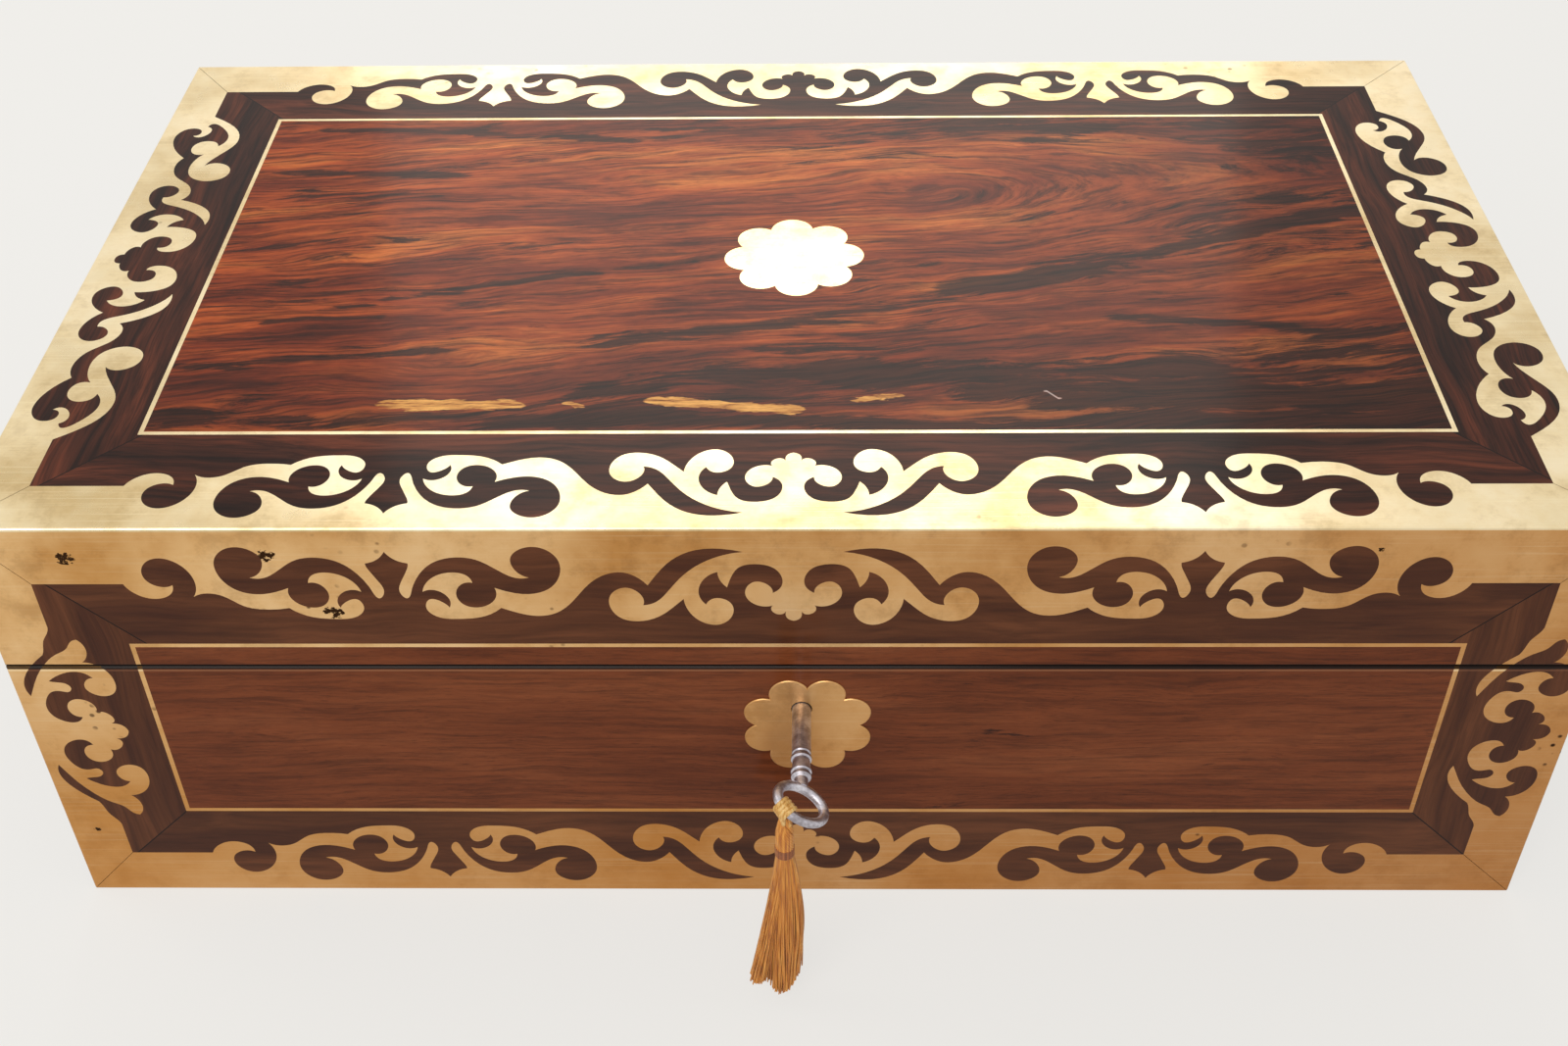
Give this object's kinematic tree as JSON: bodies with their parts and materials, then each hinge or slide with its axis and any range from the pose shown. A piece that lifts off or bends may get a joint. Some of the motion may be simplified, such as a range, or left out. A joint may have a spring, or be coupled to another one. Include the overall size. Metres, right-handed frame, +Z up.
{
  "type": "writing slope",
  "caption": "Hinged writing slope with scroll-inlaid lid and front, key with tassel in its lock, leather writing flaps, pen tray and inkwells inside.",
  "frame": {"origin": "centre of the box's underside, on the surface that it stands on", "axes": "+X to the right as seen from the lock side, -Y towards the lock side, +Z up"},
  "size_m": [0.46, 0.3191, 0.156],
  "materials": {
    "baize": "matt",
    "binding_silk": "matt",
    "cap_brass": "polished",
    "carcase_mahogany": "plain",
    "dark_rosewood": "polished",
    "escutcheon_brass": "satin, aged",
    "figured_rosewood": "polished, strongly figured",
    "fitting_mahogany": "waxed",
    "hinge_brass": "satin",
    "inkwell_glass": "clear",
    "inlay_brass": "satin, aged, fine scratches",
    "key_steel": "polished by handling",
    "lock_brass": "satin, dull",
    "lock_steel": "dull",
    "plain_rosewood": "polished",
    "rosewood_veneer": "polished",
    "screw_brass": "satin",
    "tassel_silk": "silky",
    "writing_leather": "gilt tooled, worn"
  },
  "bodies": {
    "base": {"base_back_wall": "carcase_mahogany", "base_baize": "baize", "base_bottom_board": "carcase_mahogany", "base_flap_fixed_leaves": "hinge_brass", "base_flap_ledges": "fitting_mahogany", "base_flap_rail": "fitting_mahogany", "base_front_banding": "dark_rosewood", "base_front_brass_border": "inlay_brass", "base_front_panel": "plain_rosewood", "base_front_stringing": "inlay_brass", "base_front_wall": "carcase_mahogany", "base_hinge_leaves": "hinge_brass", "base_left_wall": "carcase_mahogany", "base_right_wall": "carcase_mahogany", "base_screws": "screw_brass", "base_side_veneers": "rosewood_veneer", "escutcheon": "escutcheon_brass", "inkwell_cap_left": "cap_brass", "inkwell_cap_right": "cap_brass", "inkwell_dividers": "fitting_mahogany", "inkwell_left": "inkwell_glass", "inkwell_right": "inkwell_glass", "lock_case": "lock_brass", "pen_tray": "fitting_mahogany", "tray_floor": "fitting_mahogany", "tray_partition": "fitting_mahogany"},
    "lid": {"lid_back_wall": "carcase_mahogany", "lid_flap_fixed_leaves": "hinge_brass", "lid_flap_ledges": "fitting_mahogany", "lid_flap_rail": "fitting_mahogany", "lid_front_banding": "dark_rosewood", "lid_front_brass_border": "inlay_brass", "lid_front_panel": "plain_rosewood", "lid_front_stringing": "inlay_brass", "lid_front_wall": "carcase_mahogany", "lid_hinge_leaves": "hinge_brass", "lid_hook_plate": "lock_brass", "lid_left_wall": "carcase_mahogany", "lid_right_wall": "carcase_mahogany", "lid_screws": "screw_brass", "lid_side_veneers": "rosewood_veneer", "lid_top_banding": "dark_rosewood", "lid_top_board": "carcase_mahogany", "lid_top_brass_border": "inlay_brass", "lid_top_panel": "figured_rosewood", "lid_top_plate": "inlay_brass", "lid_top_stringing": "inlay_brass"},
    "base_flap": {"base_flap_board": "fitting_mahogany", "base_flap_leather": "writing_leather", "base_flap_moving_leaves": "hinge_brass", "base_flap_screws": "screw_brass"},
    "lid_flap": {"lid_flap_board": "fitting_mahogany", "lid_flap_leather": "writing_leather", "lid_flap_moving_leaves": "hinge_brass", "lid_flap_screws": "screw_brass"},
    "lock_bolt": {"lock_bolt": "lock_steel"},
    "key": {"key": "key_steel"},
    "tassel": {"tassel_binding": "binding_silk", "tassel_head": "tassel_silk", "tassel_skirt": "tassel_silk"}
  },
  "joints": [
    {"name": "lid_hinge", "type": "hinge", "parent": "base", "child": "lid", "pos_m": [0, 0.136, 0.078], "axis": [-1, 0, 0], "range_deg": [0, 180]},
    {"name": "base_flap_hinge", "type": "hinge", "parent": "base", "child": "base_flap", "pos_m": [0, 0.10895, 0.07869], "axis": [-1, 0, 0], "range_deg": [0, 60]},
    {"name": "lid_flap_hinge", "type": "hinge", "parent": "lid", "child": "lid_flap", "pos_m": [0, 0.10928, 0.08227], "axis": [1, 0, 0], "range_deg": [0, 60]},
    {"name": "key_turn", "type": "hinge", "parent": "base", "child": "key", "pos_m": [0.002, -0.15, 0.0857], "axis": [0, -1, 0], "range_deg": [0, 48]},
    {"name": "bolt_slide", "type": "slide", "parent": "base", "child": "lock_bolt", "axis": [1, 0, 0], "range_m": [0, 0.005]},
    {"name": "tassel_swing", "type": "hinge", "parent": "key", "child": "tassel", "pos_m": [-0.00252, -0.17613, 0.08864], "axis": [0, -1, 0], "range_deg": [-48, 0]}
  ],
  "couplings": [
    {"joint": "base_flap_hinge", "follows": "lid_hinge", "ratio": 0.33333},
    {"joint": "lid_flap_hinge", "follows": "lid_hinge", "ratio": 0.33333},
    {"joint": "bolt_slide", "follows": "key_turn", "m_per_rad": 0.005968},
    {"joint": "tassel_swing", "follows": "key_turn", "ratio": -1}
  ]
}
